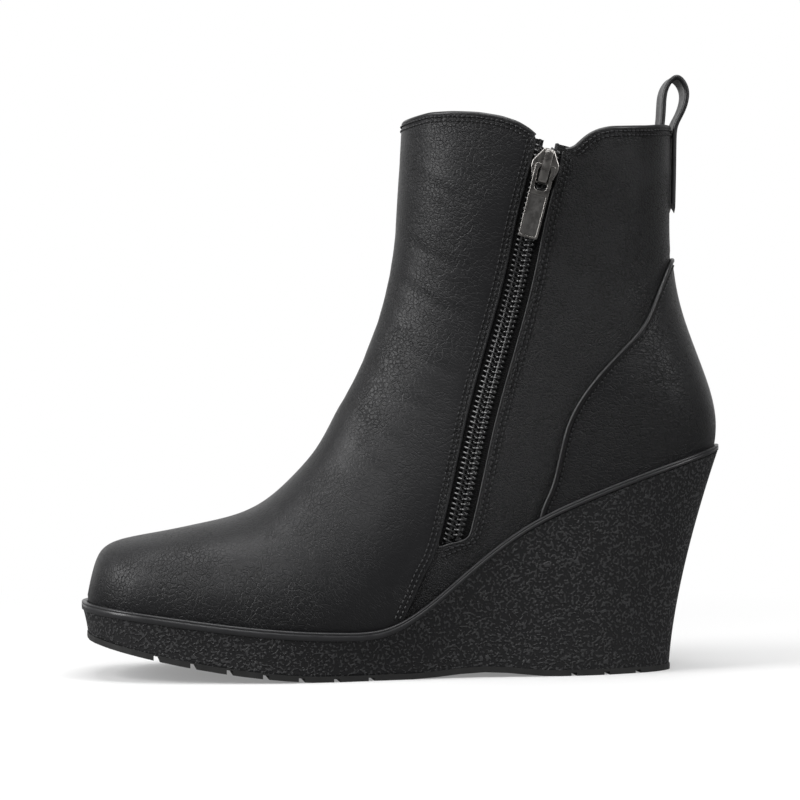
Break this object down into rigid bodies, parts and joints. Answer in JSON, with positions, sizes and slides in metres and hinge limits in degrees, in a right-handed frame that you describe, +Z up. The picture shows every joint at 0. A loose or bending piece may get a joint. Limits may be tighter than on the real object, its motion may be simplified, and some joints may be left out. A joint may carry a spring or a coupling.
{
  "type": "wedge ankle boot",
  "caption": "Ankle boot with a high wedge heel, thin platform, side zip with hinged pull, heel counter patch and pull loop at the collar.",
  "frame": {"origin": "on the floor under the middle of the boot's bounding box", "axes": "-X to the toe, +X to the heel, -Y to the inner side of the foot with the zip, +Z up from the floor"},
  "size_m": [0.2454, 0.0839, 0.2297],
  "materials": {
    "leather": "soft grained leather, satin",
    "counter_leather": "fine grained leather, satin",
    "welt_rubber": "smooth satin rubber",
    "wedge_rubber": "textured matte rubber",
    "outsole_rubber": "matte rubber",
    "insole_lining": "short soft nap",
    "zip_tape": "woven tape",
    "zip_coil": "satin nylon coil",
    "zip_metal": "dark aged nickel",
    "strap_leather": "smooth satin leather"
  },
  "bodies": {
    "boot": {"upper": "leather", "heel_counter": "counter_leather", "welt": "welt_rubber", "wedge": "wedge_rubber", "outsole": "outsole_rubber", "insole": "insole_lining", "zip_tape_front": "zip_tape", "zip_tape_rear": "zip_tape", "zip_chain": "zip_coil", "zip_slider": "zip_metal", "pull_loop": "strap_leather"},
    "pull_tab": {"zip_pull": "zip_metal"}
  },
  "joints": [
    {"name": "pull_tab_hinge", "type": "hinge", "parent": "boot", "child": "pull_tab", "pos_m": [0.05023, -0.03648, 0.19096], "axis": [-0.9695, 0.0161, 0.2447], "range_deg": [0, 150]}
  ]
}
